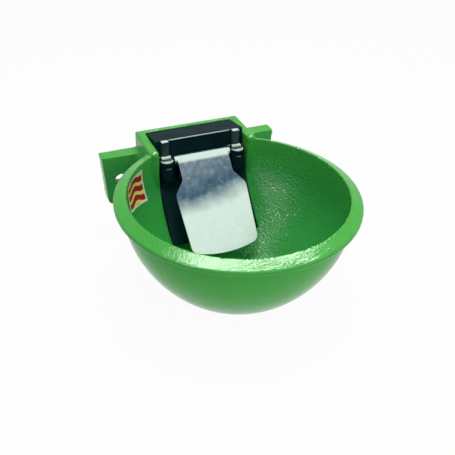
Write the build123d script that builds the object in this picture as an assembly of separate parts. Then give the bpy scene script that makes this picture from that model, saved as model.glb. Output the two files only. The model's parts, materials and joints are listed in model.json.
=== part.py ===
from build123d import *
from math import acos, cos, radians, sin, sqrt
import os

# Livestock drinking bowl: a cast-iron bowl on a wall, whose paddle opens a valve.
# Origin: centre of the two wall bolt holes, on the wall. +X along the wall, +Y into it, +Z up. Millimetres.
# Every height named *_z, and every distance from the wall named *_y, is a place in this frame.

# ---- fits between pieces
running_fit = 0.08        # radial, a shaft that turns or slides in its hole
loose_fit = 0.3           # parts that drop into one another
seat_gap = 0.05           # parts that are pushed home, such as a gland in its thread
free_gap = 1.5            # a plastic edge above raw casting

# ---- bowl
rim_radius = 125.0        # outer edge of the sloping rim
rim_z = 41.5              # height of that edge
rim_rise = 6.2            # how much higher the rim's inner edge stands
rim_edge = 4.5            # upright outer face of the rim
rim_root = 2.9            # how far below that face the rim's underside meets the body
rim_round = 2.5
rim_overhang = 8.0        # how far the rim stands out from the round body under it
rim_to_wall = 25.0        # between the rim's back and the wall
body_depth = 119.0
body_side_power = 1.099   # shape of the round body, 1 would make it an ellipse
body_floor_power = 1.087
bowl_wall = 5.2
foot_radius = 28.0        # flat under the bowl
profile_points = 7

# ---- housing behind the bowl
housing_half_width = 62.3
housing_top_z = 50.4
side_wall = 10.0
back_wall = 5.8
floor_wall = 6.0
floor_z = -28.5           # inside floor under the valve
floor_front_y = -46.0     # where the floor turns down towards the bowl
sump_y = -104.0           # where the sloping floor meets the bowl's inner surface
sump_z = -50.0
floor_end_z = -48.5       # the floor's outside runs level into the bowl at this height
housing_round = 2.0
recess_round = 4.0
nose_radius = 5.5         # upright rounded end of each side wall
nose_y = -53.0
nose_round = 2.5

# ---- ears
ear_length = 43.7         # out from the housing's side
ear_taper = 4.0           # the ears are this much narrower at the bottom
ear_top_z = 30.8
ear_bottom_z = -31.5
ear_thickness = 15.5
ear_corner = 8.0
ear_top_corner = 2.5
ear_root = 6.0
ear_edge = 1.5
bolt_offset = 22.7        # from the housing's side to the hole, for holes 170 apart
bolt_hole = 14.0

# ---- paddle and its axle
axle_y = -48.0
axle_z = 33.0
axle_radius = 3.0
sheet = 2.2               # stainless sheet of the paddle
paddle_tilt = 43.5        # degrees that the plate hangs forward of vertical
neck_step = 2.9           # the neck is this much narrower than the lip, on each side
neck_length = 25.0        # from the axle, along the plate
shoulder_length = 40.5
shoulder_step = 8.9       # the shoulders are this much wider than the lip, on each side
foot_length = 106.5
foot_step = 2.9           # and the foot this much narrower than the shoulders
paddle_length = 113.0
neck_corner = 7.0
shoulder_corner = 9.0
foot_corner = 9.0
flange_start = 7.0
flange_end = 28.0
flange_depth = 9.3        # behind the plate's back
flange_corner = 4.0
ring_groove = 0.9
ring_thickness = 0.7
ring_outer = 4.3
ring_inner = 2.45
axle_end = 0.8            # clear of the housing's side walls

# ---- pusher rod between the paddle's flanges
rod_radius = 2.5
rod_along = 20.5          # from the axle, along the plate
rod_behind = 4.9          # behind the plate's back

# ---- hinge: bushes, pillars and clips
bush_wall = 1.4
bush_flange_radius = 5.2
bush_flange = 1.0
lip_gap = 0.3             # end play between the paddle's lip and each bush
pillar_radius = 7.5
pillar_side_gap = 2.7     # between each pillar and the housing's side wall
pillar_y = -51.5
pillar_round = 1.0
pillar_foot_z = 12.0
pillar_rise = 3.0         # the pillar's top above the axle's centre, so that the bush snaps in
window_width = 6.0        # slot in the pillar's front
window_depth = 2.5
window_low_z = 28.4
window_high_z = 32.4
clip_width = 8.0
clip_front_y = -47.5
clip_top_z = 56.0
clip_round = 0.6
hood_radius = 6.0         # half-round foot of the clip, over the bush
hood_width = 11.0
tenon_width = 5.0         # tongue of the clip through the cover's front
tenon_z = 43.0
tenon_height = 4.0

# ---- valve cover
cover_front_y = -42.0
cover_back_z = 49.4
cover_front_z = 56.0
cover_wall = 3.0
cover_round = 1.5
cheek_z = 35.5            # where the cover's sides stand on the hinge carrier
cover_skirt_z = 29.3      # lower edge of its front

# ---- hinge carrier, with its guard down to the floor
guard_wall = 3.5
guard_bend_z = 17.5
guard_foot_y = -98.0
cheek_wall = 4.0
cheek_back_y = -14.0
cheek_foot_z = -2.0
drain_share = 2 / 3       # of the paddle's lip, that the water's arch is wide
drain_height = 22.0
screw_y = -25.0
screw_pitch = 20.0
screw_top_z = 26.0
screw_radius = 2.5
screw_depth = 6.0
screw_head_radius = 4.6
screw_head = 3.2

# ---- valve
body_half_width = 14.0
body_half_height = 13.0
body_front_y = -37.5
body_back_y = -12.0
body_round = 2.0
stem_radius = 3.0
stem_head_radius = 5.0
stem_head = 3.0
stem_tail_radius = 2.2
stem_tail = 3.0
rod_gap = 0.3             # between the pusher rod and the stem's head, valve shut
guide_flats = 17.0
guide_flange = 4.0
guide_thread_radius = 6.0
guide_thread = 3.0
o_ring = 0.8              # half the thickness of each small sealing ring
outlet_chamber_radius = 5.5
seat_radius = 7.5
seat_bore = 5.0
seat_front_y = -31.5
seat_length = 3.6
seat_lip = 0.8
chamber_radius = 9.0
disc_radius = 7.2
disc_thickness = 2.5
collar_radius = 6.0
collar_length = 2.5
spring_radius = 4.6
spring_wire = 1.0
spring_turns = 5
cap_flats = 24.0
cap_flange = 4.5
cap_thread = 5.0
cap_pocket = 5.8
cap_pocket_depth = 7.0

# ---- inlet and outlet
inlet_y = -20.0
inlet_radius = 10.48      # G1/2 pipe thread over its crests
inlet_bore = 7.0
thread_length = 14.0
thread_relief = 1.5       # undercut above the thread
relief_depth = 1.0
shank_radius = 12.0       # of the valve body through the housing's floor
passage_radius = 5.0
passage_neck = 8.0
shoulder_flats = 27.0
shoulder_height = 6.0
washer_radius = 16.5
washer_thickness = 2.0
nut_flats = 30.0
nut_height = 8.0
strainer_wall = 0.8
strainer_length = 26.0
strainer_slots = 6
strainer_slot = 1.4
throttle_z = -6.0
throttle_boss = 7.0
throttle_reach = 20.0
throttle_radius = 3.5
throttle_head_radius = 5.6
throttle_head = 3.0
throttle_tip_x = 1.5
driver_slot = 1.2
outlet_y = -33.3
outlet_port = 3.0
nozzle_radius = 4.6
nozzle_flange = 5.2
nozzle_flange_height = 2.0
nozzle_length = 14.0
nozzle_spigot = 3.0

# ---- sizes that follow from the ones above
recess_half_width = housing_half_width - side_wall
ear_reach = housing_half_width + ear_length
bolt_x = housing_half_width + bolt_offset
body_radius = rim_radius - rim_overhang
inner_radius = body_radius - bowl_wall
bowl_y = -rim_radius - rim_to_wall
body_top_z = rim_z - rim_edge - rim_root
floor_slope = (floor_z - sump_z) / (floor_front_y - sump_y)
bush_bore = axle_radius + running_fit
bush_radius = bush_bore + bush_wall
lip_bore = axle_radius + seat_gap
lip_radius = lip_bore + sheet
pillar_x = recess_half_width - pillar_side_gap - pillar_radius
bush_end = pillar_x + pillar_radius
bush_start = pillar_x - pillar_radius - loose_fit - bush_flange
lip_half_width = bush_start - lip_gap
neck_half_width = lip_half_width - neck_step
shoulder_half_width = lip_half_width + shoulder_step
foot_half_width = shoulder_half_width - foot_step
drain_half_width = lip_half_width * drain_share
axle_half_length = recess_half_width - axle_end
cheek_out = recess_half_width - loose_fit
plate_down = Vector(0, -sin(radians(paddle_tilt)), -cos(radians(paddle_tilt)))
plate_out = Vector(0, -cos(radians(paddle_tilt)), sin(radians(paddle_tilt)))
axle_centre = Vector(0, axle_y, axle_z)
rod_centre = axle_centre + plate_down * rod_along + plate_out * (lip_bore - rod_behind)
stem_z = rod_centre.Z
stem_front_y = rod_centre.Y + rod_radius + rod_gap
seat_back_y = seat_front_y + seat_length
disc_y = seat_back_y + seat_lip
collar_y = disc_y + disc_thickness
spring_start_y = collar_y + collar_length
pocket_y = body_back_y - cap_thread + cap_pocket_depth
floor_under_z = floor_z - floor_wall
shank_end_z = floor_under_z - washer_thickness - nut_height
thread_top_z = shank_end_z - thread_relief
inlet_end_z = thread_top_z - thread_length


# ------------------------------------------------------------------ helpers
def side_prism(points, half_width):
    """A solid of one width across X, from (y, z) corners."""
    outline = Plane.YZ * make_face(Polyline(*points, close=True))
    return extrude(outline, amount=half_width, both=True)


def rod_x(radius, start, end, y, z):
    return Pos((start + end) / 2, y, z) * Rot(0, 90, 0) * Cylinder(radius, abs(end - start))


def rod_y(radius, start, end, z=None):
    height = stem_z if z is None else z
    return Pos(0, (start + end) / 2, height) * Rot(90, 0, 0) * Cylinder(radius, abs(end - start))


def rod_z(radius, start, end, x=0, y=0):
    return Pos(x, y, (start + end) / 2) * Cylinder(radius, abs(end - start))


def block(x0, x1, y0, y1, z0, z1):
    return Pos((x0 + x1) / 2, (y0 + y1) / 2, (z0 + z1) / 2) * Box(abs(x1 - x0), abs(y1 - y0), abs(z1 - z0))


def hexagon_y(flats, start, end):
    """A hexagonal prism along Y on the stem's axis, with two flats level."""
    shape = extrude(RegularPolygon(flats / 2, 6, major_radius=False, rotation=30), amount=abs(end - start))
    return Pos(0, max(start, end), stem_z) * Rot(90, 0, 0) * shape


def hexagon_z(flats, start, end):
    """A hexagonal prism along Z on the inlet's axis, with two flats facing the wall."""
    shape = extrude(RegularPolygon(flats / 2, 6, major_radius=False), amount=abs(end - start))
    return Pos(0, inlet_y, min(start, end)) * shape


def on_both_sides(piece):
    """The piece and its mirror image across the YZ plane."""
    return [piece, mirror(piece, about=Plane.YZ)]


# ------------------------------------------------------------------ casting
def round_body(radius, depth, foot):
    """Curve down the round body, from its widest place to the flat of radius foot."""
    last = acos((foot / radius) ** (1 / body_side_power))
    angles = [last * i / (profile_points - 1) for i in range(profile_points)]
    points = [(radius * cos(a) ** body_side_power, body_top_z - depth * sin(a) ** body_floor_power)
              for a in angles]
    inward = radius * body_side_power * cos(last) ** (body_side_power - 1) * sin(last)
    down = depth * body_floor_power * sin(last) ** (body_floor_power - 1) * cos(last)
    return Spline(*points, tangents=[(0, -1), (-inward, -down)])


def turned(profile):
    return Pos(0, bowl_y, 0) * revolve(Plane.XZ * profile, Axis.Z)


def shell_profile():
    """Half section of the bowl and its rim."""
    outside = round_body(body_radius, body_depth, foot_radius)
    inside = round_body(inner_radius, body_depth - bowl_wall, foot_radius - bowl_wall)
    rim = Polyline(outside @ 0, (rim_radius, rim_z - rim_edge), (rim_radius, rim_z),
                   (inner_radius, rim_z + rim_rise), inside @ 0)
    inner_floor = Line(inside @ 1, (0, (inside @ 1).Y))
    axis = Line(inner_floor @ 1, (0, (outside @ 1).Y))
    foot = Line(axis @ 1, outside @ 1)
    profile = make_face([outside, rim, inside, inner_floor, axis, foot])
    corners = [v for v in profile.vertices() if v.Y > rim_z - rim_edge - rim_root / 2]
    return fillet(corners, rim_round * 0.8)


def hollow_profile():
    """Half section of the space inside the bowl, stepped out above it to end the housing's side walls."""
    inside = round_body(inner_radius, body_depth - bowl_wall, foot_radius - bowl_wall)
    outer = inner_radius + nose_round
    lid_z = housing_top_z + housing_half_width
    edge = Polyline(inside @ 0, (outer, (inside @ 0).Y), (outer, lid_z), (0, lid_z), (0, (inside @ 1).Y), inside @ 1)
    return make_face([inside, edge])


def housing_block():
    """Outside of the box housing, from the wall to the bowl."""
    level_y = floor_front_y + (floor_end_z - floor_under_z) / floor_slope
    points = [(0, housing_top_z), (0, floor_under_z), (floor_front_y, floor_under_z),
              (level_y, floor_end_z), (sump_y, floor_end_z), (sump_y, housing_top_z)]
    solid = side_prism(points, housing_half_width)
    back_corners = solid.edges().filter_by(Axis.Z).group_by(Axis.Y)[-1]
    return fillet(back_corners, housing_round)


def wall_nose():
    """Rounded front end of the right side wall, which fades into the bowl below."""
    x = recess_half_width + side_wall - nose_radius
    post = rod_z(nose_radius, 0, housing_top_z, x, nose_y)
    return fillet(post.edges().sort_by(Axis.Z)[-1], nose_round)


def recess():
    """Space that holds the valve, open to the bowl and upwards."""
    above_z = housing_top_z + side_wall
    points = [(-back_wall, above_z), (-back_wall, floor_z), (floor_front_y, floor_z),
              (sump_y, sump_z), (sump_y, above_z)]
    solid = side_prism(points, recess_half_width)
    back_corners = solid.edges().filter_by(Axis.Z).group_by(Axis.Y)[-1]
    return fillet(back_corners, recess_round)


def ear():
    """The right wall ear with its bolt hole, its front edge rounded all round."""
    root_x = housing_half_width - side_wall / 2
    points = [(root_x, ear_top_z), (ear_reach, ear_top_z), (ear_reach - ear_taper, ear_bottom_z),
              (root_x, ear_bottom_z)]
    outline = make_face(Polyline(*points, close=True))
    low = outline.vertices().group_by(Axis.Y)[0].sort_by(Axis.X)[-1]
    outline = fillet([low], ear_corner)
    high = outline.vertices().group_by(Axis.Y)[-1].sort_by(Axis.X)[-1]
    outline = fillet([high], ear_top_corner)
    plate = extrude(Plane.XZ * outline, amount=ear_thickness)
    front_edges = plate.faces().sort_by(Axis.Y)[0].outer_wire().edges()
    plate = fillet([e for e in front_edges if e.center().X > root_x + ear_edge], ear_edge)
    return plate - Pos(bolt_x, 0, 0) * Rot(90, 0, 0) * Cylinder(bolt_hole / 2, 4 * ear_thickness)


def ear_root_fillet():
    """Cast fillet in the upright corner between the right ear and the housing."""
    x, y = housing_half_width, -ear_thickness
    low, high = ear_bottom_z + ear_edge, ear_top_z - ear_edge
    corner = block(x - ear_edge, x + ear_root, y - ear_root, y + ear_edge, low, high)
    return corner - rod_z(ear_root, low, high, x + ear_root, y - ear_root)


def bowl_casting():
    casting = housing_block() - turned(hollow_profile())
    for piece in on_both_sides(ear()) + on_both_sides(ear_root_fillet()):
        casting += piece
    for nose in on_both_sides(wall_nose()):
        casting += nose
    casting += turned(shell_profile())
    casting -= recess()
    casting -= rod_z(shank_radius + loose_fit, floor_under_z - floor_wall, floor_z + floor_wall, y=inlet_y)
    for place in screw_places():
        casting -= rod_x(screw_radius, 0, recess_half_width + screw_depth + free_gap, *place)
        casting -= rod_x(screw_radius, 0, -recess_half_width - screw_depth - free_gap, *place)
    return casting


def screw_places():
    """(y, z) of the two screws on each side of the hinge carrier."""
    return [(screw_y, screw_top_z - i * screw_pitch) for i in range(2)]


# ------------------------------------------------------------------ black plastic parts
def valve_cover():
    """Lid over the valve: a sloping top, a flat front and two short sides."""
    back_y = -back_wall - loose_fit
    inner_front_y = cover_front_y + cover_wall
    points = [(back_y, cheek_z), (back_y, cover_back_z), (cover_front_y, cover_front_z),
              (cover_front_y, cover_skirt_z), (inner_front_y, cover_skirt_z), (inner_front_y, cheek_z)]
    solid = side_prism(points, cheek_out)
    front_edge = solid.edges().filter_by(Axis.X).sort_by(Axis.Z)[-1]
    solid = fillet([front_edge], cover_round)
    back_corners = solid.edges().filter_by(Axis.Z).group_by(Axis.Y)[-1]
    solid = fillet(back_corners, recess_round)
    inside = [(back_wall, cheek_z - side_wall), (back_wall, cover_back_z - cover_wall),
              (back_y, cover_back_z - cover_wall), (inner_front_y, cover_front_z - cover_wall),
              (inner_front_y, cheek_z - side_wall)]
    solid -= side_prism(inside, cheek_out - cover_wall)
    for slot in on_both_sides(tenon(loose_fit)):
        solid -= slot
    return solid


def guard_foot_z(y=guard_foot_y):
    """Height of the guard's lower edge at y, just clear of the sloping floor."""
    return floor_z + floor_slope * (y - floor_front_y) + free_gap


def guard():
    """Plate from the cover's front down to the housing floor, with holes for the stem and the water."""
    slope = (guard_bend_z - guard_foot_z()) / (cover_front_y - guard_foot_y)
    behind = guard_wall * sqrt(1 + 1 / slope ** 2)
    top_z = cover_skirt_z - loose_fit
    points = [(cover_front_y, top_z), (cover_front_y, guard_bend_z), (guard_foot_y, guard_foot_z()),
              (guard_foot_y + behind, guard_foot_z(guard_foot_y + behind)),
              (cover_front_y + guard_wall, guard_bend_z - (behind - guard_wall) * slope),
              (cover_front_y + guard_wall, top_z)]
    plate = side_prism(points, cheek_out)
    plate -= rod_y(guide_flats * 0.62, cover_front_y - 3 * guard_wall, cover_front_y + 3 * guard_wall)
    drain_top_z = guard_foot_z() + drain_height
    drain = block(-drain_half_width, drain_half_width, guard_foot_y - guard_wall, cover_front_y,
                  guard_foot_z() - guard_wall, drain_top_z)
    drain = fillet(drain.edges().filter_by(Axis.Y).group_by(Axis.Z)[-1], drain_height / 3)
    return plate - drain


def carrier_cheek():
    """Right side plate of the carrier, screwed to the housing's side wall."""
    guard_y = cover_front_y + guard_wall / 2
    slope = (guard_bend_z - guard_foot_z()) / (cover_front_y - guard_foot_y)
    low_y = cover_front_y + (cheek_foot_z - guard_bend_z) / slope + guard_wall / 2
    front_y = cover_front_y + cover_wall + loose_fit
    points = [(front_y, cheek_z), (cheek_back_y, cheek_z), (cheek_back_y, cheek_foot_z),
              (low_y, cheek_foot_z), (guard_y, guard_bend_z), (guard_y, cover_skirt_z - loose_fit),
              (front_y, cover_skirt_z - loose_fit)]
    plate = Pos(cheek_out - cheek_wall / 2, 0, 0) * side_prism(points, cheek_wall / 2)
    for place in screw_places():
        plate -= rod_x(screw_radius + loose_fit, 0, housing_half_width, *place)
    return plate


def pillar():
    """Right half-round pillar with a seat for the axle's bush and a slot in its front."""
    top = axle_z + pillar_rise
    left, right = pillar_x - pillar_radius, pillar_x + pillar_radius
    post = rod_z(pillar_radius, pillar_foot_z, top, pillar_x, pillar_y)
    post = fillet(post.edges().sort_by(Axis.Z)[-1], pillar_round)
    post += block(left, right, pillar_y, cover_front_y + guard_wall / 2, pillar_foot_z, top)
    post -= block(left, right, cover_front_y, 0, cover_skirt_z - loose_fit, top)
    post -= rod_x(bush_radius, left, right, axle_y, axle_z)
    front_y = pillar_y - pillar_radius
    return post - block(pillar_x - window_width / 2, pillar_x + window_width / 2, front_y,
                        front_y + window_depth, window_low_z, window_high_z)


def hinge_carrier():
    carrier = guard()
    for side in on_both_sides(carrier_cheek()) + on_both_sides(pillar()):
        carrier += side
    return carrier


def tenon(clearance=0.0):
    """Tongue of the right clip, through the cover's front."""
    half = tenon_width / 2 + clearance
    return block(pillar_x - half, pillar_x + half, clip_front_y, cover_front_y + cover_wall + clearance,
                 tenon_z - clearance, tenon_z + tenon_height + clearance)


def axle_clip():
    """Right post whose half-round foot locks the axle's bush on its pillar."""
    foot_z = axle_z + pillar_rise
    left, right = pillar_x - clip_width / 2, pillar_x + clip_width / 2
    post = block(left, right, clip_front_y, cover_front_y, foot_z, clip_top_z)
    front = [e for e in post.edges() if e.center().Y < clip_front_y + clip_round and e.center().Z > foot_z + 1]
    post = fillet(front, clip_round)
    hood = rod_x(hood_radius, pillar_x - hood_width / 2, pillar_x + hood_width / 2, axle_y, axle_z)
    hood = fillet(hood.edges().filter_by(GeomType.CIRCLE), clip_round)
    hood -= block(0, housing_half_width, axle_y - side_wall, axle_y + side_wall, 0, foot_z)
    post += hood
    post -= rod_x(bush_radius, 0, housing_half_width, axle_y, axle_z)
    return post + tenon()


def axle_bush():
    """Right flanged bush that the axle turns in."""
    tube = rod_x(bush_radius, bush_start, bush_end, axle_y, axle_z)
    tube += rod_x(bush_flange_radius, bush_start, bush_start + bush_flange, axle_y, axle_z)
    return tube - rod_x(bush_bore, 0, housing_half_width, axle_y, axle_z)


def carrier_screws():
    """Four pan-head screws, two in each side wall."""
    head_x = cheek_out - cheek_wall
    pieces = []
    for place in screw_places():
        shank = rod_x(screw_radius - running_fit, head_x, recess_half_width + screw_depth, *place)
        head = rod_x(screw_head_radius, head_x - screw_head, head_x, *place)
        head = fillet(head.edges().sort_by(Axis.X)[0:1], screw_head / 3)
        slot = block(head_x - screw_head, head_x - screw_head / 2, place[0] - screw_head_radius,
                     place[0] + screw_head_radius, place[1] - driver_slot / 2, place[1] + driver_slot / 2)
        pieces += on_both_sides(shank + head - slot)
    return Compound(children=pieces)


# ------------------------------------------------------------------ paddle
def plate_plane():
    """Plane of the paddle's front face: X across, Y back up towards the axle, Z out of the plate."""
    return Plane(origin=axle_centre + plate_out * lip_radius, x_dir=(1, 0, 0), z_dir=plate_out)


def paddle_outline():
    right = [(neck_half_width, 0), (neck_half_width, -neck_length), (shoulder_half_width, -shoulder_length),
             (foot_half_width, -foot_length)]
    left = [(-x, y) for x, y in reversed(right)]
    sides = Polyline(*right)
    bottom = ThreePointArc(right[-1], (0, -paddle_length), left[0])
    face = make_face([sides, bottom, Polyline(*left), Line(left[-1], right[0])])
    for length, radius in ((neck_length, neck_corner), (shoulder_length, shoulder_corner),
                           (foot_length, foot_corner)):
        corners = [v for v in face.vertices() if abs(v.Y + length) < 0.01]
        face = fillet(corners, radius)
    return face


def paddle_flange():
    """Right flange at the neck, bent back, with a hole for the pusher rod."""
    points = [(-flange_start, 0), (-flange_end, 0), (-flange_end, -sheet - flange_depth),
              (-flange_start, -sheet - flange_depth)]
    outline = make_face(Polyline(*points, close=True))
    outline = fillet(outline.vertices().group_by(Axis.Y)[0], flange_corner)
    side = plate_plane() * (Plane.YZ * outline)
    plate = extrude(side, amount=sheet, dir=(-1, 0, 0))
    return Pos(neck_half_width, 0, 0) * plate


def paddle():
    plate = extrude(plate_plane() * paddle_outline(), amount=-sheet)
    lip = rod_x(lip_radius, -lip_half_width, lip_half_width, axle_y, axle_z)
    solid = plate + lip
    for flange in on_both_sides(paddle_flange()):
        solid += flange
    solid -= rod_x(lip_bore, -housing_half_width, housing_half_width, axle_y, axle_z)
    return solid - rod_x(rod_radius + seat_gap, -housing_half_width, housing_half_width,
                         rod_centre.Y, rod_centre.Z)


def paddle_axle():
    """Straight axle with a groove for a retaining ring near each end."""
    axle = rod_x(axle_radius, -axle_half_length, axle_half_length, axle_y, axle_z)
    axle = chamfer(axle.edges().filter_by(GeomType.CIRCLE), axle_radius / 6)
    groove_x = bush_end + loose_fit
    groove = rod_x(axle_radius + 1, groove_x, groove_x + ring_groove, axle_y, axle_z)
    groove -= rod_x(ring_inner - seat_gap, groove_x, groove_x + ring_groove, axle_y, axle_z)
    for cut in on_both_sides(groove):
        axle -= cut
    return axle


def axle_retaining_rings():
    """One open ring in each groove of the axle."""
    start = bush_end + loose_fit + (ring_groove - ring_thickness) / 2
    ring = rod_x(ring_outer, start, start + ring_thickness, axle_y, axle_z)
    ring -= rod_x(ring_inner, start, start + ring_thickness, axle_y, axle_z)
    mouth = ring_inner * 0.8
    ring -= block(start, start + ring_thickness, axle_y - mouth, axle_y + mouth, axle_z - ring_outer, axle_z)
    return Compound(children=on_both_sides(ring))


def pusher_rod():
    return rod_x(rod_radius, -neck_half_width, neck_half_width, rod_centre.Y, rod_centre.Z)


# ------------------------------------------------------------------ valve
def ring_y(mean_radius, y, thickness=o_ring):
    """A sealing ring round the stem's axis."""
    return Pos(0, y, stem_z) * Rot(90, 0, 0) * Torus(mean_radius, thickness)


def valve_body():
    half, rise = body_half_width, body_half_height
    body = block(-half, half, body_front_y, body_back_y, stem_z - rise, stem_z + rise)
    body = fillet(body.edges().filter_by(Axis.Y), body_round)
    shoulder_z = floor_z + shoulder_height
    body += rod_z(passage_neck, shoulder_z, stem_z - rise, y=inlet_y)
    body += hexagon_z(shoulder_flats, floor_z, shoulder_z)
    body += rod_z(shank_radius, shank_end_z, floor_z, y=inlet_y)
    body += rod_z(inlet_radius - relief_depth, thread_top_z, shank_end_z, y=inlet_y)
    body += rod_z(inlet_radius, inlet_end_z, thread_top_z, y=inlet_y)
    body += rod_x(throttle_boss, 0, throttle_reach, inlet_y, throttle_z)
    body -= rod_z(passage_radius, inlet_end_z, stem_z, y=inlet_y)
    body -= rod_z(inlet_bore, inlet_end_z, inlet_end_z + strainer_length + passage_radius, y=inlet_y)
    body -= rod_x(throttle_radius + seat_gap, throttle_tip_x, throttle_reach, inlet_y, throttle_z)
    body -= rod_y(guide_thread_radius + seat_gap, body_front_y, body_front_y + guide_thread)
    body -= rod_y(outlet_chamber_radius, body_front_y, seat_back_y)
    body -= rod_y(seat_radius + seat_gap, seat_front_y, seat_back_y)
    body -= rod_y(chamber_radius, seat_back_y, body_back_y)
    return body - rod_z(outlet_port, stem_z - rise, stem_z, y=outlet_y)


def valve_seat():
    """Nylon ring with a raised lip that the disc closes on."""
    seat = rod_y(seat_radius, seat_front_y, seat_back_y)
    seat += rod_y(seat_bore + seat_lip, seat_back_y, disc_y)
    return seat - rod_y(seat_bore, seat_front_y, disc_y)


def stem_guide():
    """Hexagon gland that carries the stem and its sealing ring."""
    guide = hexagon_y(guide_flats, body_front_y - guide_flange, body_front_y)
    guide += rod_y(guide_thread_radius, body_front_y, body_front_y + guide_thread)
    guide -= rod_y(stem_radius + running_fit, body_front_y - guide_flange, body_front_y + guide_thread)
    groove_y = body_front_y
    groove_radius = stem_radius + running_fit + 2 * o_ring + seat_gap
    return guide - rod_y(groove_radius, groove_y - o_ring - seat_gap, groove_y + o_ring + seat_gap)


def stem_o_ring():
    return ring_y(stem_radius + running_fit + o_ring, body_front_y)


def valve_stem():
    """Stem with a button head in front and a thinner tail for the collar."""
    stem = rod_y(stem_radius, stem_front_y, collar_y)
    head = rod_y(stem_head_radius, stem_front_y, stem_front_y + stem_head)
    head = fillet(head.edges().filter_by(GeomType.CIRCLE), stem_head / 6)
    return stem + head + rod_y(stem_tail_radius, collar_y, collar_y + collar_length + stem_tail)


def valve_disc():
    disc = rod_y(disc_radius, disc_y, collar_y)
    return disc - rod_y(stem_radius + seat_gap, disc_y, collar_y)


def disc_retainer():
    """Collar behind the disc, with a spigot that centres the spring."""
    collar = rod_y(collar_radius, collar_y, spring_start_y)
    collar += rod_y(spring_radius - spring_wire, spring_start_y, spring_start_y + spring_wire)
    return collar - rod_y(stem_tail_radius + seat_gap, collar_y, spring_start_y + spring_wire)


def valve_spring():
    """Round-wire spring between the collar and the cap."""
    wire = spring_wire / 2
    start, end = spring_start_y + wire, pocket_y - wire
    travel = end - start
    path = Helix(travel / spring_turns, travel, spring_radius, center=(0, start, stem_z), direction=(0, 1, 0))
    section = Plane(origin=path @ 0, z_dir=path % 0) * Circle(wire)
    return sweep(section, path=path, is_frenet=True)


def valve_cap():
    """Plug that closes the valve behind the spring."""
    cap = hexagon_y(cap_flats, body_back_y, body_back_y + cap_flange)
    cap += rod_y(chamber_radius - seat_gap, body_back_y - cap_thread, body_back_y)
    cap -= rod_y(cap_pocket, body_back_y - cap_thread, pocket_y)
    groove = rod_y(chamber_radius, cap_ring_y() - o_ring - seat_gap, cap_ring_y() + o_ring + seat_gap)
    groove -= rod_y(chamber_radius - 2 * o_ring - seat_gap, cap_ring_y() - 2 * o_ring, cap_ring_y() + 2 * o_ring)
    return cap - groove


def cap_ring_y():
    return body_back_y - cap_thread / 2


def cap_o_ring():
    return ring_y(chamber_radius - o_ring - seat_gap / 2, cap_ring_y(), o_ring - seat_gap / 2)


def throttle_head_x():
    return throttle_reach + throttle_head


def flow_screw():
    """Throttle screw that narrows the inlet passage."""
    screw = rod_x(throttle_radius, throttle_tip_x + seat_gap, throttle_reach, inlet_y, throttle_z)
    head = rod_x(throttle_head_radius, throttle_reach, throttle_head_x(), inlet_y, throttle_z)
    groove_x = throttle_reach - 3 * o_ring
    groove = rod_x(throttle_radius + 1, groove_x - o_ring, groove_x + o_ring, inlet_y, throttle_z)
    groove -= rod_x(throttle_radius - 2 * o_ring, groove_x - o_ring, groove_x + o_ring, inlet_y, throttle_z)
    slot = block(throttle_head_x() - driver_slot, throttle_head_x(), inlet_y - throttle_head_radius,
                 inlet_y + throttle_head_radius, throttle_z - driver_slot / 2, throttle_z + driver_slot / 2)
    return screw + head - groove - slot


def flow_screw_o_ring():
    thickness = o_ring - seat_gap / 2
    ring = Rot(0, 90, 0) * Torus(throttle_radius - o_ring, thickness)
    return Pos(throttle_reach - 3 * o_ring, inlet_y, throttle_z) * ring


def inlet_strainer():
    """Slotted thimble pushed up into the inlet."""
    radius = inlet_bore - seat_gap
    bottom, top = inlet_end_z + strainer_wall, inlet_end_z + strainer_length
    tube_radius = radius - strainer_wall
    thimble = rod_z(tube_radius, bottom, top, y=inlet_y) + rod_z(radius, bottom, bottom + strainer_wall, y=inlet_y)
    thimble -= rod_z(tube_radius - strainer_wall, bottom, top - strainer_wall, y=inlet_y)
    slot = block(0, 2 * radius, -strainer_slot / 2, strainer_slot / 2,
                 bottom + 4 * strainer_wall, top - 4 * strainer_wall)
    for i in range(strainer_slots):
        thimble -= Pos(0, inlet_y, 0) * Rot(0, 0, 360 / strainer_slots * i) * slot
    return thimble


def body_washer():
    washer = rod_z(washer_radius, floor_under_z - washer_thickness, floor_under_z, y=inlet_y)
    return washer - rod_z(shank_radius + seat_gap, floor_under_z - washer_thickness, floor_under_z, y=inlet_y)


def body_lock_nut():
    top = floor_under_z - washer_thickness
    nut = hexagon_z(nut_flats, top - nut_height, top)
    return nut - rod_z(shank_radius + seat_gap, top - nut_height, top, y=inlet_y)


def outlet_nozzle():
    """Spout under the valve's front end, which lets the water down on to the sloping floor."""
    top = stem_z - body_half_height
    spout = rod_z(nozzle_radius, top - nozzle_length, top, y=outlet_y)
    spout += rod_z(nozzle_flange, top - nozzle_flange_height, top, y=outlet_y)
    spout += rod_z(outlet_port - seat_gap, top, top + nozzle_spigot, y=outlet_y)
    return spout - rod_z(outlet_port - nozzle_flange_height / 2, top - nozzle_length, top + nozzle_spigot,
                         y=outlet_y)


def write(name, shape):
    export_step(shape, f"parts/{name}.step")


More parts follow.
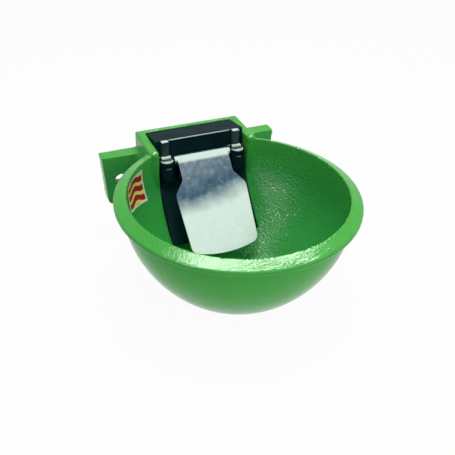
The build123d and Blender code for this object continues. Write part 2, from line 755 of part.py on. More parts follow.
def main():
    os.makedirs("parts", exist_ok=True)
    pieces = {
        "bowl_casting": bowl_casting(),
        "valve_cover": valve_cover(),
        "hinge_carrier": hinge_carrier(),
        "carrier_screws": carrier_screws(),
        "paddle": paddle(),
        "paddle_axle": paddle_axle(),
        "axle_retaining_rings": axle_retaining_rings(),
        "pusher_rod": pusher_rod(),
        "valve_body": valve_body(),
        "valve_seat": valve_seat(),
        "stem_guide": stem_guide(),
        "stem_o_ring": stem_o_ring(),
        "valve_stem": valve_stem(),
        "valve_disc": valve_disc(),
        "disc_retainer": disc_retainer(),
        "valve_spring": valve_spring(),
        "valve_cap": valve_cap(),
        "cap_o_ring": cap_o_ring(),
        "flow_screw": flow_screw(),
        "flow_screw_o_ring": flow_screw_o_ring(),
        "inlet_strainer": inlet_strainer(),
        "body_washer": body_washer(),
        "body_lock_nut": body_lock_nut(),
        "outlet_nozzle": outlet_nozzle(),
    }
    for side, shape in zip(("right", "left"), on_both_sides(axle_clip())):
        pieces[f"axle_clip_{side}"] = shape
    for side, shape in zip(("right", "left"), on_both_sides(axle_bush())):
        pieces[f"axle_bush_{side}"] = shape
    for name, shape in pieces.items():
        write(name, shape)


main()
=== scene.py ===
import json
import math

import bmesh
import bpy
import numpy as np
from mathutils import Matrix, Vector


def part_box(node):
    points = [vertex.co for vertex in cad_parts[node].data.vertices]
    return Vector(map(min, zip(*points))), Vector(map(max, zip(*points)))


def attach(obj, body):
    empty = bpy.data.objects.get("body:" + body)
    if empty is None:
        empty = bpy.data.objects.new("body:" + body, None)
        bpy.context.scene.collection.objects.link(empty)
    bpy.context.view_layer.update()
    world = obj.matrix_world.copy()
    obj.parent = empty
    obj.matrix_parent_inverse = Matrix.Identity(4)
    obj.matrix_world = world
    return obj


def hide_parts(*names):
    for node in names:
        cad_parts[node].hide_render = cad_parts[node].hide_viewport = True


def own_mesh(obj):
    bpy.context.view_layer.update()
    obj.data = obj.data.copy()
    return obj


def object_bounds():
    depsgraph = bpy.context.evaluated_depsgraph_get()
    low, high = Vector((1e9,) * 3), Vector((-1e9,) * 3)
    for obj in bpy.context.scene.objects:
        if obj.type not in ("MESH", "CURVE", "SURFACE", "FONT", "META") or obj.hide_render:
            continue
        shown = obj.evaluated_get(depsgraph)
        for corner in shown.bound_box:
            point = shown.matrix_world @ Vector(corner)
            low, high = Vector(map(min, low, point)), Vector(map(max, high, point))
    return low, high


# Looks of the livestock drinking bowl. Metres, in the CAD frame: +X along the wall, +Y into it, +Z up.
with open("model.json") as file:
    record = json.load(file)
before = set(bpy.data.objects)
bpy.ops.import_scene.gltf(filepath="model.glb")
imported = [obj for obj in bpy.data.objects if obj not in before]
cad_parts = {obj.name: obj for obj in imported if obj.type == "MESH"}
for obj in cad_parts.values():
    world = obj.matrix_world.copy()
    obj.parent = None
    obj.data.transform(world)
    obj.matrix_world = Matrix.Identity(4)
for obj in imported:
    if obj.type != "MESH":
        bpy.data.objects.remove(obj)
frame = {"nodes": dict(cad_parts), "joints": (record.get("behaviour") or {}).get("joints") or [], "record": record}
cad_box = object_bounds()
nodes = frame["nodes"]
MM = 0.001

# ------------------------------------------------------------------ sizes, from the frame
cast_low, cast_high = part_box("bowl_casting")
hinge = next(j for j in frame["joints"] if j["name"] == "paddle_hinge")
axle_y, axle_z = hinge["pos_m"][1], hinge["pos_m"][2]
clip_inner_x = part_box("axle_clip_right")[0].x
thread_low_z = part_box("valve_body")[0].z

rim_radius = (cast_high.x - cast_low.x) / 2
bowl_y = cast_low.y + rim_radius
housing_top = cast_high.z

# Shape of the casting, as in the CAD model
rim_z = 41.5 * MM
rim_rise = 6.2 * MM
rim_edge = 4.5 * MM
rim_root = 2.9 * MM
body_radius = 117.0 * MM
body_depth = 119.0 * MM
side_power, floor_power = 1.099, 1.087
bowl_wall = 5.2 * MM
foot_radius = 28.0 * MM
housing_half = 62.3 * MM
side_wall = 10.0 * MM
back_wall = 5.8 * MM
floor_wall = 6.0 * MM
floor_z = -28.5 * MM
floor_front_y = -46.0 * MM
sump_y, sump_z, floor_end_z = -104.0 * MM, -50.0 * MM, -48.5 * MM
nose_radius, nose_y, nose_round = 5.5 * MM, -53.0 * MM, 2.5 * MM
ear_reach, ear_taper = 106.0 * MM, 4.0 * MM
ear_top, ear_bottom = 30.8 * MM, -31.5 * MM
ear_thickness, ear_corner, ear_root = 15.5 * MM, 8.0 * MM, 6.0 * MM
bolt_x, bolt_radius = 85.0 * MM, 7.0 * MM
inlet_y, inlet_hole = -20.0 * MM, 12.3 * MM
drop_radius, drop_forward, drop_below_top = 5.2 * MM, 1.0 * MM, 3.4 * MM
quarter_turn = np.linspace(0, math.pi / 2, 9)
body_top = rim_z - rim_edge - rim_root
inner_radius = body_radius - bowl_wall
recess_half = housing_half - side_wall

# The paddle leans out from its axle
tilt = math.radians(43.5)
plate_down = Vector((0, -math.sin(tilt), -math.cos(tilt)))

# Sticker on the left of the bowl's inside: from its right edge to its left edge
sticker_angles = (132.5, 155.0)
sticker_bottom = (3.3 * MM, 12.9 * MM)
sticker_top = (40.8 * MM, 43.0 * MM)
sticker_lift = 0.25 * MM

# Thread of the water inlet
thread_pitch, thread_length = 1.814 * MM, 14.0 * MM

# Spring behind the valve's disc
spring_wire, spring_turns = 1.0 * MM, 5

# Camera fitted to the photograph: its angles, its place along its own axes, and its lens
camera_azimuth, camera_elevation, camera_roll = -24.54, 35.36, 2.21
camera_right, camera_down, camera_back = 48.05 * MM, 114.36 * MM, 793.96 * MM
focal_pixels, photo_pixels, sensor_width = 678.73, 455, 36.0


# ------------------------------------------------------------------ mesh helpers
def add_object(name, vertices, faces):
    mesh = bpy.data.meshes.new(name)
    mesh.from_pydata(vertices, [], faces)
    mesh.update()
    obj = bpy.data.objects.new(name, mesh)
    bpy.context.scene.collection.objects.link(obj)
    return obj


def tidy_normals(obj):
    shape = bmesh.new()
    shape.from_mesh(obj.data)
    bmesh.ops.remove_doubles(shape, verts=shape.verts, dist=1e-7)
    bmesh.ops.recalc_face_normals(shape, faces=shape.faces)
    shape.to_mesh(obj.data)
    shape.free()
    return obj


def lathe(name, profile, steps):
    """Closed solid turned about the bowl's axis, from (radius, z) points that start and end on the axis."""
    rings = []
    vertices, faces = [], []
    for radius, z in profile:
        if radius < 1e-9:
            rings.append([len(vertices)])
            vertices.append((0, bowl_y, z))
            continue
        first = len(vertices)
        rings.append(list(range(first, first + steps)))
        for i in range(steps):
            a = 2 * math.pi * i / steps
            vertices.append((radius * math.cos(a), bowl_y + radius * math.sin(a), z))
    for low, high in zip(rings, rings[1:]):
        for i in range(steps):
            j = (i + 1) % steps
            if len(low) == 1:
                faces.append((low[0], high[i], high[j]))
            elif len(high) == 1:
                faces.append((low[i], low[j], high[0]))
            else:
                faces.append((low[i], low[j], high[j], high[i]))
    return tidy_normals(add_object(name, vertices, faces))


def prism(name, near_ring, far_ring):
    """Closed solid between two rings that have the same number of corners."""
    count = len(near_ring)
    faces = [tuple(range(count)), tuple(range(2 * count - 1, count - 1, -1))]
    faces += [(i, (i + 1) % count, count + (i + 1) % count, count + i) for i in range(count)]
    return tidy_normals(add_object(name, near_ring + far_ring, faces))


def side_prism(name, points, half_width):
    """Prism across X from (y, z) corners."""
    return prism(name, *([(x, y, z) for y, z in points] for x in (-half_width, half_width)))


def front_prism(name, points, near, far):
    """Prism along Y from (x, z) corners."""
    return prism(name, *([(x, y, z) for x, z in points] for y in (near, far)))


def cylinder(name, radius, start, end, steps=64):
    """Closed cylinder between two points."""
    axis = (end - start).normalized()
    side = axis.orthogonal().normalized()
    other = axis.cross(side)
    turns = [2 * math.pi * i / steps for i in range(steps)]
    rings = []
    for centre in (start, end):
        rings.append([centre + side * (radius * math.cos(a)) + other * (radius * math.sin(a)) for a in turns])
    return prism(name, *rings)


def combine(obj, other, operation):
    """Boolean of two solids; the second is used up."""
    step = obj.modifiers.new("combine", "BOOLEAN")
    step.operation = operation
    step.object = other
    step.solver = "MANIFOLD"
    apply_modifiers(obj)
    bpy.data.objects.remove(other)
    return obj


def apply_modifiers(obj):
    graph = bpy.context.evaluated_depsgraph_get()
    mesh = bpy.data.meshes.new_from_object(obj.evaluated_get(graph))
    old = obj.data
    obj.modifiers.clear()
    obj.data = mesh
    bpy.data.meshes.remove(old)
    return obj


def smooth(obj):
    obj.data.polygons.foreach_set("use_smooth", [True] * len(obj.data.polygons))
    return obj


# ------------------------------------------------------------------ casting
def round_body(radius, depth, foot, count=40):
    """(radius, z) points down the round body to its flat."""
    last = math.acos((foot / radius) ** (1 / side_power))
    angles = [last * i / (count - 1) for i in range(count)]
    radii = [radius * math.cos(a) ** side_power for a in angles]
    heights = [body_top - depth * math.sin(a) ** floor_power for a in angles]
    return list(zip(radii, heights))


def casting_piece():
    steps = 240
    outside = round_body(body_radius, body_depth, foot_radius)
    inside = round_body(inner_radius, body_depth - bowl_wall, foot_radius - bowl_wall)
    shell = [(0, outside[-1][1])] + outside[::-1]
    shell += [(rim_radius, rim_z - rim_edge), (rim_radius, rim_z), (inner_radius, rim_z + rim_rise)]
    shell += inside + [(0, inside[-1][1])]
    lid, outer = housing_top + housing_half, inner_radius + nose_round
    hollow = [(0, lid), (outer, lid), (outer, body_top)] + inside + [(0, inside[-1][1])]
    floor_under = floor_z - floor_wall
    slope = (floor_z - sump_z) / (floor_front_y - sump_y)
    outline = [(0, housing_top), (0, floor_under), (floor_front_y, floor_under),
               (floor_front_y + (floor_end_z - floor_under) / slope, floor_end_z), (sump_y, floor_end_z),
               (sump_y, housing_top)]
    casting = side_prism("casting", outline, housing_half)
    casting = combine(casting, lathe("hollow", hollow, steps), "DIFFERENCE")
    for side in (-1, 1):
        casting = combine(casting, ear(side), "UNION")
        casting = combine(casting, ear_root_fillet(side), "UNION")
        x = side * (housing_half - nose_radius)
        nose = cylinder("nose", nose_radius, Vector((x, nose_y, 0)), Vector((x, nose_y, housing_top)))
        casting = combine(casting, nose, "UNION")
        drop = enamel_drop(Vector((x, nose_y - drop_forward, housing_top - drop_below_top)))
        casting = combine(casting, drop, "UNION")
    casting = combine(casting, lathe("shell", shell, steps), "UNION")
    above = housing_top + side_wall
    space = [(-back_wall, above), (-back_wall, floor_z), (floor_front_y, floor_z), (sump_y, sump_z),
             (sump_y, above)]
    casting = combine(casting, side_prism("recess", space, recess_half), "DIFFERENCE")
    hole = cylinder("hole", inlet_hole, Vector((0, inlet_y, floor_z + floor_wall)),
                    Vector((0, inlet_y, floor_under - floor_wall)))
    casting = combine(casting, hole, "DIFFERENCE")
    for side in (-1, 1):
        x, past = side * bolt_x, 2 * ear_thickness
        hole = cylinder("hole", bolt_radius, Vector((x, past, 0)), Vector((x, -past, 0)))
        casting = combine(casting, hole, "DIFFERENCE")
    return soften(casting)


def enamel_drop(centre):
    """Thick drop of enamel that rounds the top of a wall's front end."""
    drop = bmesh.new()
    bmesh.ops.create_uvsphere(drop, u_segments=32, v_segments=16, radius=drop_radius,
                              matrix=Matrix.Translation(centre))
    mesh = bpy.data.meshes.new("drop")
    drop.to_mesh(mesh)
    drop.free()
    obj = bpy.data.objects.new("drop", mesh)
    bpy.context.scene.collection.objects.link(obj)
    return obj


def ear(side):
    root = housing_half - side_wall / 2
    x, z = ear_reach - ear_taper - ear_corner, ear_bottom + ear_corner
    corner = [(x + ear_corner * math.cos(a), z - ear_corner * math.sin(a)) for a in quarter_turn]
    points = [(root, ear_top), (ear_reach, ear_top)] + corner + [(root, ear_bottom)]
    return front_prism("ear", [(side * x, z) for x, z in points], 0, -ear_thickness)


def ear_root_fillet(side):
    """Fillet between ear and housing, as a prism along Z."""
    x, y, r = housing_half, -ear_thickness, ear_root
    arc = [(x + r - r * math.sin(a), y - r + r * math.cos(a)) for a in quarter_turn]
    inset = 1.5 * MM
    points = [(x - inset, y + inset), (x + r, y + inset)] + arc + [(x - inset, y - r)]
    heights = (ear_bottom + inset, ear_top - inset)
    return prism("fillet", *([(side * px, py, z) for px, py in points] for z in heights))


def soften(casting):
    """Cast iron under enamel has no sharp edge: a fine remesh, then smoothing."""
    remesh = casting.modifiers.new("remesh", "REMESH")
    remesh.mode = "VOXEL"
    remesh.voxel_size = 1.1 * MM
    relax = casting.modifiers.new("relax", "SMOOTH")
    relax.factor = 0.5
    relax.iterations = 4
    apply_modifiers(casting)
    return smooth(casting)


# ------------------------------------------------------------------ materials
def new_material(name):
    material = bpy.data.materials.new(name)
    material.use_nodes = True
    tree = material.node_tree
    tree.nodes.clear()
    output = tree.nodes.new("ShaderNodeOutputMaterial")
    shader = tree.nodes.new("ShaderNodeBsdfPrincipled")
    tree.links.new(shader.outputs["BSDF"], output.inputs["Surface"])
    return material, tree, shader


def object_coordinates(tree):
    return tree.nodes.new("ShaderNodeTexCoord").outputs["Object"]


def noise(tree, vector, scale, detail=3.0, roughness=0.5):
    node = tree.nodes.new("ShaderNodeTexNoise")
    node.inputs["Scale"].default_value = scale
    node.inputs["Detail"].default_value = detail
    node.inputs["Roughness"].default_value = roughness
    tree.links.new(vector, node.inputs["Vector"])
    return node.outputs["Fac"]


def ramp(tree, factor, stops):
    node = tree.nodes.new("ShaderNodeValToRGB")
    tree.links.new(factor, node.inputs["Fac"])
    elements = node.color_ramp.elements
    while len(elements) < len(stops):
        elements.new(0.5)
    for element, (place, colour) in zip(elements, stops):
        element.position = place
        element.color = (*colour, 1)
    return node.outputs["Color"]


def bump(tree, height, distance, strength=1.0, normal=None):
    node = tree.nodes.new("ShaderNodeBump")
    node.inputs["Distance"].default_value = distance
    node.inputs["Strength"].default_value = strength
    tree.links.new(height, node.inputs["Height"])
    if normal is not None:
        tree.links.new(normal, node.inputs["Normal"])
    return node.outputs["Normal"]


def soft_edges(tree, radius):
    node = tree.nodes.new("ShaderNodeBevel")
    node.samples = 6
    node.inputs["Radius"].default_value = radius
    return node.outputs["Normal"]


def along(tree, direction, origin):
    """Distance of each point from an origin along a direction, as a number."""
    offset = tree.nodes.new("ShaderNodeVectorMath")
    offset.operation = "SUBTRACT"
    tree.links.new(object_coordinates(tree), offset.inputs[0])
    offset.inputs[1].default_value = origin
    dot = tree.nodes.new("ShaderNodeVectorMath")
    dot.operation = "DOT_PRODUCT"
    tree.links.new(offset.outputs["Vector"], dot.inputs[0])
    dot.inputs[1].default_value = direction
    return dot.outputs["Value"]


def span(tree, value, low, high, to_low=0.0, to_high=1.0):
    node = tree.nodes.new("ShaderNodeMapRange")
    node.inputs["From Min"].default_value = low
    node.inputs["From Max"].default_value = high
    node.inputs["To Min"].default_value = to_low
    node.inputs["To Max"].default_value = to_high
    tree.links.new(value, node.inputs["Value"])
    return node.outputs["Result"]


def math_node(tree, operation, *values):
    node = tree.nodes.new("ShaderNodeMath")
    node.operation = operation
    for socket, value in zip(node.inputs, values):
        if isinstance(value, (int, float)):
            socket.default_value = value
        else:
            tree.links.new(value, socket)
    return node.outputs["Value"]


def mix_colours(tree, factor, first, second):
    node = tree.nodes.new("ShaderNodeMix")
    node.data_type = "RGBA"
    tree.links.new(factor, node.inputs["Factor"])
    for socket, value in ((node.inputs["A"], first), (node.inputs["B"], second)):
        if isinstance(value, tuple):
            socket.default_value = (*value, 1)
        else:
            tree.links.new(value, socket)
    return node.outputs["Result"]


def level_faces(tree):
    """1 on faces that look straight up, 0 on the rest."""
    normal = tree.nodes.new("ShaderNodeNewGeometry").outputs["Normal"]
    parts = tree.nodes.new("ShaderNodeSeparateXYZ")
    tree.links.new(normal, parts.inputs["Vector"])
    return span(tree, parts.outputs["Z"], 0.75, 0.98)


def cover_edge_highlight(tree, rounded):
    """1 along the valve cover's front top edge, between the two axle clips: where a highlight is painted."""
    parts = tree.nodes.new("ShaderNodeSeparateXYZ")
    tree.links.new(rounded, parts.inputs["Vector"])
    to_front = math_node(tree, "MULTIPLY", parts.outputs["Y"], -1.0)
    facing = span(tree, math_node(tree, "MINIMUM", to_front, parts.outputs["Z"]), 0.3, 0.5)
    sideways = math_node(tree, "ABSOLUTE", along(tree, (1, 0, 0), (0, 0, 0)))
    between = span(tree, sideways, clip_inner_x, clip_inner_x - 1.0 * MM)
    high = span(tree, along(tree, (0, 0, 1), (0, 0, axle_z)), 10.0 * MM, 12.0 * MM)
    return math_node(tree, "MULTIPLY", facing, math_node(tree, "MULTIPLY", between, high))


def bowl_inside(tree):
    """1 on faces that look towards the bowl's axis, 0 on those that look away from it."""
    outward = tree.nodes.new("ShaderNodeVectorMath")
    outward.operation = "SUBTRACT"
    tree.links.new(object_coordinates(tree), outward.inputs[0])
    outward.inputs[1].default_value = (0, bowl_y, 0)
    facing = tree.nodes.new("ShaderNodeVectorMath")
    facing.operation = "DOT_PRODUCT"
    tree.links.new(outward.outputs["Vector"], facing.inputs[0])
    tree.links.new(tree.nodes.new("ShaderNodeNewGeometry").outputs["Normal"], facing.inputs[1])
    return span(tree, facing.outputs["Value"], -10.0 * MM, -60.0 * MM)


def enamel_material():
    """Glossy green enamel over sand-cast iron, whose grain shows most inside the bowl. The lower inside is written
    in a darker, bluer green, a painted shade; the real enamel is probably one green.
    """
    material, tree, shader = new_material("green_enamel")
    place = object_coordinates(tree)
    inside = bowl_inside(tree)
    blotches = noise(tree, place, 14.0, 2.0)
    outer_tone = ramp(tree, blotches, [(0.3, (0.068, 0.43, 0.066)), (0.7, (0.082, 0.48, 0.080))])
    # Painted shade: a darker, bluer copy of the enamel, used on the lower inside of the bowl.
    shaded_inner_tone = ramp(tree, blotches, [(0.3, (0.032, 0.32, 0.062)), (0.7, (0.042, 0.37, 0.076))])
    below_rim = span(tree, along(tree, (0, 0, 1), (0, 0, 0)), 40.0 * MM, 15.0 * MM)
    painted_shade_mask = math_node(tree, "MULTIPLY", inside, below_rim)
    tree.links.new(mix_colours(tree, painted_shade_mask, outer_tone, shaded_inner_tone), shader.inputs["Base Color"])
    shader.inputs["Roughness"].default_value = 0.11
    shader.inputs["Specular IOR Level"].default_value = 0.12
    sand = noise(tree, place, 430.0, 2.0, 0.6)
    depth = span(tree, inside, 0.0, 1.0, 0.35, 1.0)
    waves = noise(tree, place, 55.0, 2.0, 0.5)
    normal = bump(tree, waves, 0.0012, 0.4)
    normal = bump(tree, math_node(tree, "MULTIPLY", sand, depth), 0.0016, 0.6, normal)
    tree.links.new(normal, shader.inputs["Normal"])
    return material


def plastic_material(name="black_plastic", highlight_paint=0.0, dark=(0.004, 0.019, 0.024), light=(0.007, 0.028, 0.035)):
    """Black moulded plastic, with painted highlights: a whitish line on the cover's front edge and whitish patches
    on level faces. The specular level is far below real plastic's, so that the white surroundings don't wash the
    black out.
    """
    material, tree, shader = new_material(name)
    place = object_coordinates(tree)
    rounded = soft_edges(tree, 0.0007)
    tone = ramp(tree, noise(tree, place, 40.0), [(0.35, dark), (0.65, light)])
    # Painted highlight: a whitish line along the cover's front edge and whitish patches on level faces, in the
    # colour mixed in below.
    painted_highlight = math_node(tree, "MULTIPLY", cover_edge_highlight(tree, rounded), 0.8)
    if highlight_paint:
        highlight_patches = span(tree, noise(tree, place, 220.0), 0.3, 0.6, 0.75 * highlight_paint, highlight_paint)
        painted_highlight = math_node(tree, "MAXIMUM", painted_highlight, math_node(tree, "MULTIPLY", level_faces(tree), highlight_patches))
    tree.links.new(mix_colours(tree, painted_highlight, tone, (0.62, 0.76, 0.76)), shader.inputs["Base Color"])
    shader.inputs["Roughness"].default_value = 0.14
    shader.inputs["Specular IOR Level"].default_value = 0.006
    tree.links.new(bump(tree, noise(tree, place, 900.0), 0.0001, 0.3, rounded), shader.inputs["Normal"])
    return material


def steel_surface(tree, shader, tone, roughness, grain):
    """Metal with rolling lines and a cloudy sheen."""
    place = object_coordinates(tree)
    stretch = tree.nodes.new("ShaderNodeMapping")
    stretch.inputs["Scale"].default_value = grain
    tree.links.new(place, stretch.inputs["Vector"])
    lines = noise(tree, stretch.outputs["Vector"], 300.0, 3.0)
    cloud = noise(tree, place, 35.0, 4.0, 0.6)
    tree.links.new(tone, shader.inputs["Base Color"])
    shader.inputs["Metallic"].default_value = 1.0
    tree.links.new(span(tree, cloud, 0.0, 1.0, roughness * 0.8, roughness * 1.2), shader.inputs["Roughness"])
    normal = bump(tree, lines, 0.00004, 0.4, soft_edges(tree, 0.0004))
    tree.links.new(normal, shader.inputs["Normal"])


def steel_material(name, colour, roughness, grain):
    material, tree, shader = new_material(name)
    cloud = noise(tree, object_coordinates(tree), 35.0, 4.0, 0.6)
    tone = ramp(tree, cloud, [(0.3, tuple(c * 0.9 for c in colour)), (0.7, colour)])
    steel_surface(tree, shader, tone, roughness, grain)
    return material


def paddle_material():
    """Pressed stainless plate with a painted reflection: blue-grey at the neck and light below, both drawn in as
    the sheet's own colours.
    """
    material, tree, shader = new_material("paddle_steel")
    place = object_coordinates(tree)
    down = along(tree, plate_down, (0, axle_y, axle_z))
    mottle = noise(tree, place, 170.0, 5.0, 0.6)
    patch = noise(tree, place, 32.0, 3.0, 0.5)
    drift = span(tree, patch, 0.25, 0.75, -6.0 * MM, 6.0 * MM)
    sideways = along(tree, (0.15, 0, 0), (0, axle_y, axle_z))
    reach = math_node(tree, "ADD", math_node(tree, "ADD", down, drift), sideways)
    # Painted reflection: dark blue-grey tones at the neck and shoulders, bright tones lower down and next to the
    # lip.
    neck_reflection_tones = [(0.3, (0.12, 0.18, 0.22)), (0.55, (0.19, 0.26, 0.31)), (0.75, (0.34, 0.43, 0.47))]
    shoulder_reflection_tones = [(0.3, (0.04, 0.09, 0.14)), (0.55, (0.075, 0.14, 0.19)), (0.75, (0.16, 0.25, 0.31))]
    neck_reflection, shoulder_reflection = ramp(tree, mottle, neck_reflection_tones), ramp(tree, mottle, shoulder_reflection_tones)
    dark_reflection = mix_colours(tree, span(tree, reach, 12.0 * MM, 36.0 * MM), neck_reflection, shoulder_reflection)
    bright_reflection = ramp(tree, mottle, [(0.3, (0.66, 0.82, 0.74)), (0.7, (0.71, 0.87, 0.77))])
    lower = span(tree, reach, 40.0 * MM, 62.0 * MM)
    upper = span(tree, down, 7.0 * MM, 4.0 * MM)
    bright_reflection_mask = math_node(tree, "MAXIMUM", lower, upper)
    steel_surface(tree, shader, mix_colours(tree, bright_reflection_mask, dark_reflection, bright_reflection), 0.28, (1.0, 0.08, 0.08))
    return material


def sticker_material():
    """Red and yellow vinyl with waves, in a white border; the corners of its surface are 0 and 1."""
    material, tree, shader = new_material("sticker_vinyl")
    place = tree.nodes.new("ShaderNodeUVMap").outputs["UV"]
    parts = tree.nodes.new("ShaderNodeSeparateXYZ")
    tree.links.new(place, parts.inputs["Vector"])
    across, up = parts.outputs["X"], parts.outputs["Y"]
    wave = math_node(tree, "SINE", math_node(tree, "MULTIPLY", across, 9.0))
    swing = math_node(tree, "MULTIPLY", wave, 0.06)
    rise = math_node(tree, "ADD", up, swing)
    stripe = math_node(tree, "SINE", math_node(tree, "MULTIPLY", rise, 21.0))
    bands = mix_colours(tree, span(tree, stripe, 0.25, 0.4), (0.42, 0.018, 0.024), (0.86, 0.80, 0.17))
    edge = None
    for value in (across, up):
        inner = math_node(tree, "ABSOLUTE", math_node(tree, "SUBTRACT", value, 0.5))
        edge = inner if edge is None else math_node(tree, "MAXIMUM", edge, inner)
    printed = mix_colours(tree, span(tree, edge, 0.44, 0.46), bands, (0.80, 0.84, 0.80))
    tree.links.new(printed, shader.inputs["Base Color"])
    shader.inputs["Roughness"].default_value = 0.35
    shader.inputs["Specular IOR Level"].default_value = 0.3
    wrinkle = noise(tree, object_coordinates(tree), 260.0, 3.0)
    tree.links.new(bump(tree, wrinkle, 0.0002, 0.5), shader.inputs["Normal"])
    return material


def brass_material():
    """Turned brass, with a pipe thread at the inlet's lower end."""
    material, tree, shader = new_material("brass")
    place = object_coordinates(tree)
    tone = ramp(tree, noise(tree, place, 60.0, 4.0), [(0.3, (0.50, 0.31, 0.10)), (0.7, (0.72, 0.50, 0.20))])
    tree.links.new(tone, shader.inputs["Base Color"])
    shader.inputs["Metallic"].default_value = 1.0
    shader.inputs["Roughness"].default_value = 0.3
    height = along(tree, (0, 0, 1), (0, 0, thread_low_z))
    ridges = math_node(tree, "SINE", math_node(tree, "MULTIPLY", height, 2 * math.pi / thread_pitch))
    threaded = span(tree, height, thread_length, thread_length - 1.0 * MM)
    normal = bump(tree, noise(tree, place, 500.0), 0.00008, 0.4, soft_edges(tree, 0.0004))
    normal = bump(tree, math_node(tree, "MULTIPLY", ridges, threaded), 0.0004, 1.0, normal)
    tree.links.new(normal, shader.inputs["Normal"])
    return material


def plain_material(name, dark, light, roughness, grain):
    material, tree, shader = new_material(name)
    place = object_coordinates(tree)
    tone = ramp(tree, noise(tree, place, 50.0), [(0.3, dark), (0.7, light)])
    tree.links.new(tone, shader.inputs["Base Color"])
    shader.inputs["Roughness"].default_value = roughness
    normal = bump(tree, noise(tree, place, grain), 0.0001, 0.4, soft_edges(tree, 0.0004))
    tree.links.new(normal, shader.inputs["Normal"])
    return material


materials = {
    "dark_steel": plain_material("dark_steel", (0.02, 0.02, 0.022), (0.035, 0.035, 0.04), 0.4, 700.0),
    "green_enamel": enamel_material(),
    "black_plastic": plastic_material(),
    "paddle_steel": paddle_material(),
    "stainless_steel": steel_material("stainless_steel", (0.70, 0.73, 0.75), 0.25, (0.1, 1.0, 1.0)),
    "grey_nylon": plain_material("grey_nylon", (0.40, 0.42, 0.42), (0.50, 0.52, 0.51), 0.45, 700.0),
    "brass": brass_material(),
    "black_rubber": plain_material("black_rubber", (0.012, 0.012, 0.012), (0.02, 0.02, 0.02), 0.7, 800.0),
    "sticker_vinyl": sticker_material(),
}
highlight_painted_plastic = {
    # The clips' plastic is a lighter copy of the black plastic, a painted sheen; clips and carrier carry painted
    # highlights on their level faces.
    "axle_clip_left": plastic_material("clip_plastic_painted_sheen", 1.0, (0.02, 0.036, 0.042), (0.06, 0.085, 0.095)),
    "hinge_carrier": plastic_material("carrier_plastic_painted_highlights", 0.8),
}
highlight_painted_plastic["axle_clip_right"] = highlight_painted_plastic["axle_clip_left"]


def dress(obj, slot):
    obj.data.materials.clear()
    obj.data.materials.append(materials[slot])


for entry in frame["record"]["subparts"]:
    node = nodes[entry["node"]]
    node.material_slots[0].material = highlight_painted_plastic.get(entry["node"], materials[entry["material_slot"]])

casting = casting_piece()
casting.name = "cast_bowl"
dress(casting, "green_enamel")
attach(casting, "housing")
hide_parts("bowl_casting")


def inner_surface(z):
    """Radius of the bowl's inside at a height."""
    fall = max(0.0, (body_top - z) / (body_depth - bowl_wall))
    return inner_radius * math.cos(math.asin(fall ** (1 / floor_power))) ** side_power


def sticker_piece():
    columns, rows = 24, 30
    vertices, faces, corners = [], [], []
    for i in range(columns + 1):
        across = i / columns
        angle = math.radians(sticker_angles[0] + (sticker_angles[1] - sticker_angles[0]) * across)
        bottom = sticker_bottom[0] + (sticker_bottom[1] - sticker_bottom[0]) * across
        top = sticker_top[0] + (sticker_top[1] - sticker_top[0]) * across
        for j in range(rows + 1):
            z = bottom + (top - bottom) * j / rows
            radius = inner_surface(z) - sticker_lift
            vertices.append((radius * math.cos(angle), bowl_y + radius * math.sin(angle), z))
            corners.append((1 - across, j / rows))
    for i in range(columns):
        for j in range(rows):
            a = i * (rows + 1) + j
            faces.append((a, a + 1, a + rows + 2, a + rows + 1))
    sticker = add_object("sticker", vertices, faces)
    layer = sticker.data.uv_layers.new(name="face")
    for loop in sticker.data.loops:
        layer.data[loop.index].uv = corners[loop.vertex_index]
    return smooth(sticker)


def spring_piece(low, high):
    """Round-wire spring that fills a box along Y."""
    sides, steps = 12, 36 * spring_turns
    wire = spring_wire / 2
    centre = (low + high) / 2
    radius = (high.x - low.x) / 2 - wire
    start, end = low.y + wire, high.y - wire
    vertices, faces = [], []
    for i in range(steps + 1):
        a = 2 * math.pi * spring_turns * i / steps
        outward = Vector((math.cos(a), 0, math.sin(a)))
        middle = Vector((centre.x, start + (end - start) * i / steps, centre.z)) + outward * radius
        for j in range(sides):
            b = 2 * math.pi * j / sides
            vertices.append(middle + outward * (wire * math.cos(b)) + Vector((0, wire * math.sin(b), 0)))
    for i in range(steps):
        for j in range(sides):
            a, b = i * sides + j, i * sides + (j + 1) % sides
            faces.append((a, b, b + sides, a + sides))
    faces += [tuple(range(sides)), tuple(range(steps * sides + sides - 1, steps * sides - 1, -1))]
    return smooth(tidy_normals(add_object("spring", vertices, faces)))


spring_low, spring_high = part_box("valve_spring")
spring = spring_piece(spring_low, spring_high)
dress(spring, "stainless_steel")
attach(spring, "housing")
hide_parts("valve_spring")
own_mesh(spring)

sticker = sticker_piece()
dress(sticker, "sticker_vinyl")
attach(sticker, "housing")


# ------------------------------------------------------------------ camera, light and backdrop
def look_along(azimuth, elevation, roll):
    """Right, up and back vectors of the photograph's camera."""
    a, e, r = map(math.radians, (azimuth, elevation, roll))
    back = Vector((math.sin(a) * math.cos(e), -math.cos(a) * math.cos(e), math.sin(e)))
    right = Vector((math.cos(a), math.sin(a), 0))
    up = back.cross(right)
    return math.cos(r) * right + math.sin(r) * up, math.cos(r) * up - math.sin(r) * right, back


def placed(centre, right, up, back):
    """Matrix that puts a camera or a lamp at a point, with these three axes."""
    return Matrix.Translation(centre) @ Matrix((right, up, back)).transposed().to_4x4()


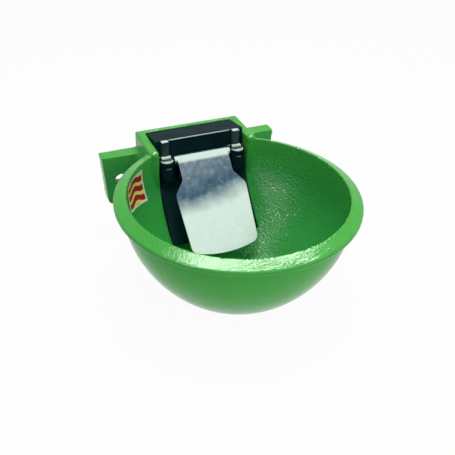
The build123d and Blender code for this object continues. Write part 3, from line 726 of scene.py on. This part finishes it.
def place_camera():
    right, up, back = look_along(camera_azimuth, camera_elevation, camera_roll)
    target = Vector((0, 0, rim_z))
    centre = target + right * camera_right - up * camera_down + back * camera_back
    data = bpy.data.cameras.new("camera")
    data.sensor_width = sensor_width
    data.lens = focal_pixels / photo_pixels * sensor_width
    data.clip_start = 0.01
    camera = bpy.data.objects.new("camera", data)
    camera.matrix_world = placed(centre, right, up, back)
    bpy.context.scene.collection.objects.link(camera)
    bpy.context.scene.camera = camera


def area_light(name, centre, width, height, power, colour=(1, 1, 1)):
    """Soft lamp that faces the bowl, with its width level and along X."""
    back = (centre - Vector((0, bowl_y, 0))).normalized()
    right = Vector((0, 1, 0)).cross(back).normalized()
    data = bpy.data.lights.new(name, "AREA")
    data.shape = "RECTANGLE"
    data.size, data.size_y = width, height
    data.energy = power
    data.color = colour
    light = bpy.data.objects.new(name, data)
    light.matrix_world = placed(centre, right, back.cross(right), back)
    bpy.context.scene.collection.objects.link(light)
    return light


def shine_card(name, centre, width, height, strength):
    """Bright card for highlights: it adds no diffuse light, and only enamel and black plastic show it."""
    card = area_light(name, centre, width, height, strength * math.pi * width * height)
    card.visible_diffuse = False
    card.light_linking.receiver_collection = shiny


def backdrop_rays(tree):
    """1 for the rays that should see the white backdrop: camera, glossy and transmission rays."""
    path = tree.nodes.new("ShaderNodeLightPath")
    value = path.outputs["Is Camera Ray"]
    for kind in ("Is Glossy Ray", "Is Transmission Ray"):
        value = math_node(tree, "MAXIMUM", value, path.outputs[kind])
    return value


def white_world():
    """White where it is seen, and a dimmer, even, bluish light on the object."""
    world = bpy.data.worlds.new("studio")
    bpy.context.scene.world = world
    world.use_nodes = True
    tree = world.node_tree
    tree.nodes.clear()
    output = tree.nodes.new("ShaderNodeOutputWorld")
    light = tree.nodes.new("ShaderNodeBackground")
    light.inputs["Color"].default_value = (0.76, 0.97, 1.3, 1)
    light.inputs["Strength"].default_value = 0.31
    seen = tree.nodes.new("ShaderNodeBackground")
    seen.inputs["Color"].default_value = (1, 1, 1, 1)
    mix = tree.nodes.new("ShaderNodeMixShader")
    tree.links.new(backdrop_rays(tree), mix.inputs["Fac"])
    tree.links.new(light.outputs["Background"], mix.inputs[1])
    tree.links.new(seen.outputs["Background"], mix.inputs[2])
    tree.links.new(mix.outputs["Shader"], output.inputs["Surface"])


def pale_floor():
    """White floor with a very faint shadow of the bowl: what is seen is one part lit floor in twenty."""
    reach = 6.0
    z = cad_box[0][2] - 0.001
    corners = [(-reach, -reach, z), (reach, -reach, z), (reach, reach, z), (-reach, reach, z)]
    floor = add_object("floor", corners, [(0, 1, 2, 3)])
    material, tree, shader = new_material("floor_white")
    output = next(n for n in tree.nodes if n.type == "OUTPUT_MATERIAL")
    shader.inputs["Base Color"].default_value = (0.9, 0.9, 0.9, 1)
    shader.inputs["Roughness"].default_value = 0.8
    glow = tree.nodes.new("ShaderNodeEmission")
    dim = tree.nodes.new("ShaderNodeMixShader")
    dim.inputs["Fac"].default_value = 0.95
    mix = tree.nodes.new("ShaderNodeMixShader")
    tree.links.new(shader.outputs["BSDF"], dim.inputs[1])
    tree.links.new(glow.outputs["Emission"], dim.inputs[2])
    tree.links.new(backdrop_rays(tree), mix.inputs["Fac"])
    tree.links.new(shader.outputs["BSDF"], mix.inputs[1])
    tree.links.new(dim.outputs["Shader"], mix.inputs[2])
    tree.links.new(mix.outputs["Shader"], output.inputs["Surface"])
    floor.data.materials.append(material)


place_camera()
white_world()
pale_floor()
# The overhead lamp is yellowish and the world bluish, as lit and shaded sides are in the photograph
area_light("overhead", Vector((0.05, -0.14, 1.1)), 0.75, 0.3, 8.2, (1.14, 1, 0.72)).visible_glossy = False
area_light("front_fill", Vector((0.4, -1.3, 0.8)), 0.8, 0.8, 3.0).visible_glossy = False

shiny = bpy.data.collections.new("enamel_and_plastic")
shiny.objects.link(casting)
for entry in frame["record"]["subparts"]:
    if entry["material_slot"] == "black_plastic":
        shiny.objects.link(nodes[entry["node"]])
shine_card("overhead_shine", Vector((0.09, -0.12, 1.05)), 1.15, 0.42, 62.0)
shine_card("left_shine", Vector((-0.84, -0.51, 0.50)), 0.10, 0.5, 120.0)

bpy.context.scene.view_settings.view_transform = "Standard"
